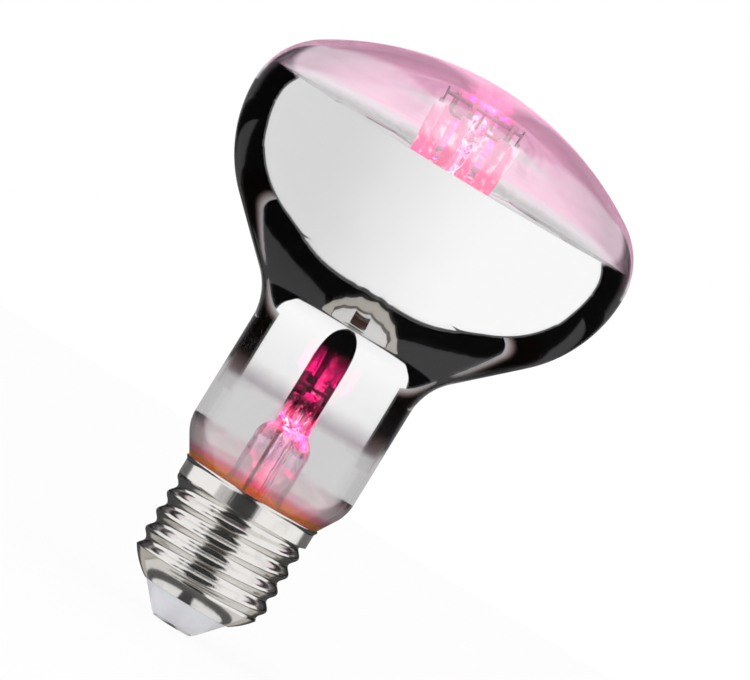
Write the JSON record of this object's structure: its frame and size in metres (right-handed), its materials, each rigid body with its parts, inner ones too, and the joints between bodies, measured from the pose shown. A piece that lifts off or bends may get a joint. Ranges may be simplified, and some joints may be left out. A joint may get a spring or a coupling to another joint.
{
  "type": "reflector light bulb",
  "caption": "Mirrored reflector grow bulb with clear dome and lower neck, pink LED filaments on a glass stem, and a standard screw cap.",
  "frame": {"origin": "centre of the end face of the centre contact", "axes": "+Z along the bulb's axis from the cap to the dome, -Y towards the viewer of the picture, +X to the viewer's right"},
  "size_m": [0.076, 0.076, 0.1116],
  "materials": {
    "bulb_glass": "clear blown glass with a faint pink cast",
    "silver_mirror": "bright aluminium film behind the glass",
    "stem_glass": "clear lamp-worked glass lit pink",
    "nickel_cap": "bright nickel plate",
    "white_plastic": "smooth white moulding",
    "contact_metal": "tinned rivet",
    "orange_cement": "dull orange basing cement",
    "pink_phosphor": "silicone phosphor coat, lit",
    "white_ceramic": "fired strip",
    "tab_metal": "plated strip",
    "nickel_wire": "drawn nickel wire",
    "tinned_wire": "dull tinned copper wire",
    "copper_seal": "red copper-clad seal wire",
    "board_laminate": "green board",
    "black_package": "moulded black package",
    "ferrite": "dark ferrite drum",
    "capacitor_sleeve": "shrink sleeve",
    "resistor_body": "lacquered body",
    "red_wire": "insulated wire",
    "white_wire": "insulated wire"
  },
  "bodies": {
    "root": {"basing_cement": "orange_cement", "bridge_rectifier": "black_package", "cap_insulator": "white_plastic", "centre_contact": "contact_metal", "choke": "ferrite", "contact_wire": "red_wire", "driver_board": "board_laminate", "driver_chip": "black_package", "feed_arc_minus": "nickel_wire", "feed_arc_plus": "nickel_wire", "filament_coat_1": "pink_phosphor", "filament_coat_2": "pink_phosphor", "filament_coat_3": "pink_phosphor", "filament_coat_4": "pink_phosphor", "filament_coat_5": "pink_phosphor", "filament_coat_6": "pink_phosphor", "filament_strip_1": "white_ceramic", "filament_strip_2": "white_ceramic", "filament_strip_3": "white_ceramic", "filament_strip_4": "white_ceramic", "filament_strip_5": "white_ceramic", "filament_strip_6": "white_ceramic", "filament_tabs_1": "tab_metal", "filament_tabs_2": "tab_metal", "filament_tabs_3": "tab_metal", "filament_tabs_4": "tab_metal", "filament_tabs_5": "tab_metal", "filament_tabs_6": "tab_metal", "fuse_resistor": "resistor_body", "glass_bulb": "bulb_glass", "glass_stem": "stem_glass", "hoop_support_1": "nickel_wire", "hoop_support_2": "nickel_wire", "hoop_support_3": "nickel_wire", "inner_lead_minus": "nickel_wire", "inner_lead_plus": "nickel_wire", "mirror_coating": "silver_mirror", "outer_lead_minus": "tinned_wire", "outer_lead_plus": "tinned_wire", "screw_shell": "nickel_cap", "seal_wire_minus": "copper_seal", "seal_wire_plus": "copper_seal", "shell_wire": "white_wire", "smoothing_capacitor": "capacitor_sleeve", "top_hoop": "nickel_wire"}
  },
  "joints": []
}
